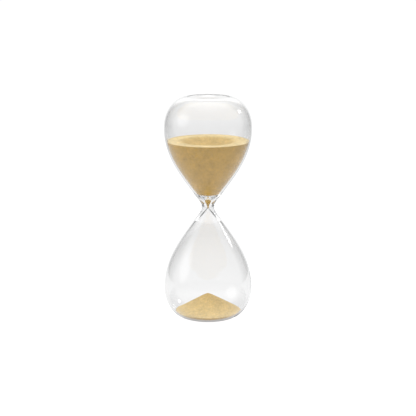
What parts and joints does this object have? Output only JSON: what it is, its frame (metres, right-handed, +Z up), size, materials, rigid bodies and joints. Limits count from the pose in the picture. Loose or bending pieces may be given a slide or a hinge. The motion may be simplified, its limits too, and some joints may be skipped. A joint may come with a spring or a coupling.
{
  "type": "hourglass",
  "caption": "Frameless blown-glass sand timer: pear-shaped bulbs fused at a thick narrow throat, with fine golden sand running from the upper bulb to a heap in the lower.",
  "frame": {"origin": "centre of the lower foot, on the surface the timer stands on", "axes": "+Z up along the axis that every piece is turned about, from the lower bulb to the upper bulb; X and Y are alike"},
  "size_m": [0.0782, 0.0782, 0.2],
  "materials": {
    "glass": "polished",
    "sand": "matte"
  },
  "bodies": {
    "root": {"upper_bulb": "glass", "throat": "glass", "lower_bulb": "glass", "fill_hole_seal": "glass", "upper_sand": "sand", "lower_sand": "sand"}
  },
  "joints": []
}
